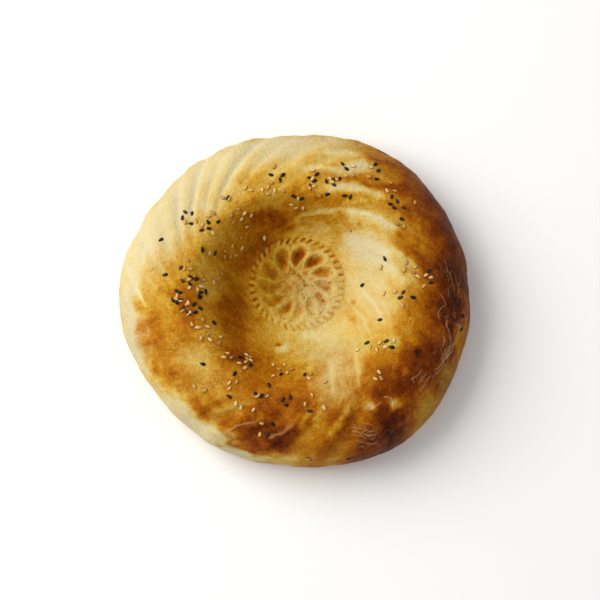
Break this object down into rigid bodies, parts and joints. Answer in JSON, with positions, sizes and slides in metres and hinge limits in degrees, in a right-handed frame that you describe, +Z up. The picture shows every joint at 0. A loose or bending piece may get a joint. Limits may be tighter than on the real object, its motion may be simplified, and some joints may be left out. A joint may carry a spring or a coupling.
{
  "type": "tandir bread",
  "caption": "Round oven bread with a puffy, fluted rim, a sunken middle stamped with a flower, and sesame seeds scattered over the rim.",
  "frame": {"origin": "on the surface that the loaf rests on, under the middle of its bounding box", "axes": "+Z up through the stamped side; +X to the right and +Y to the top of the picture"},
  "size_m": [0.2109, 0.2015, 0.0496],
  "materials": {
    "crust": "baked bread crust, satin, cream to golden and dark brown",
    "dark_seed": "black sesame seed, satin",
    "pale_seed": "toasted sesame seed, satin"
  },
  "bodies": {
    "root": {"bread": "crust"}
  },
  "joints": []
}
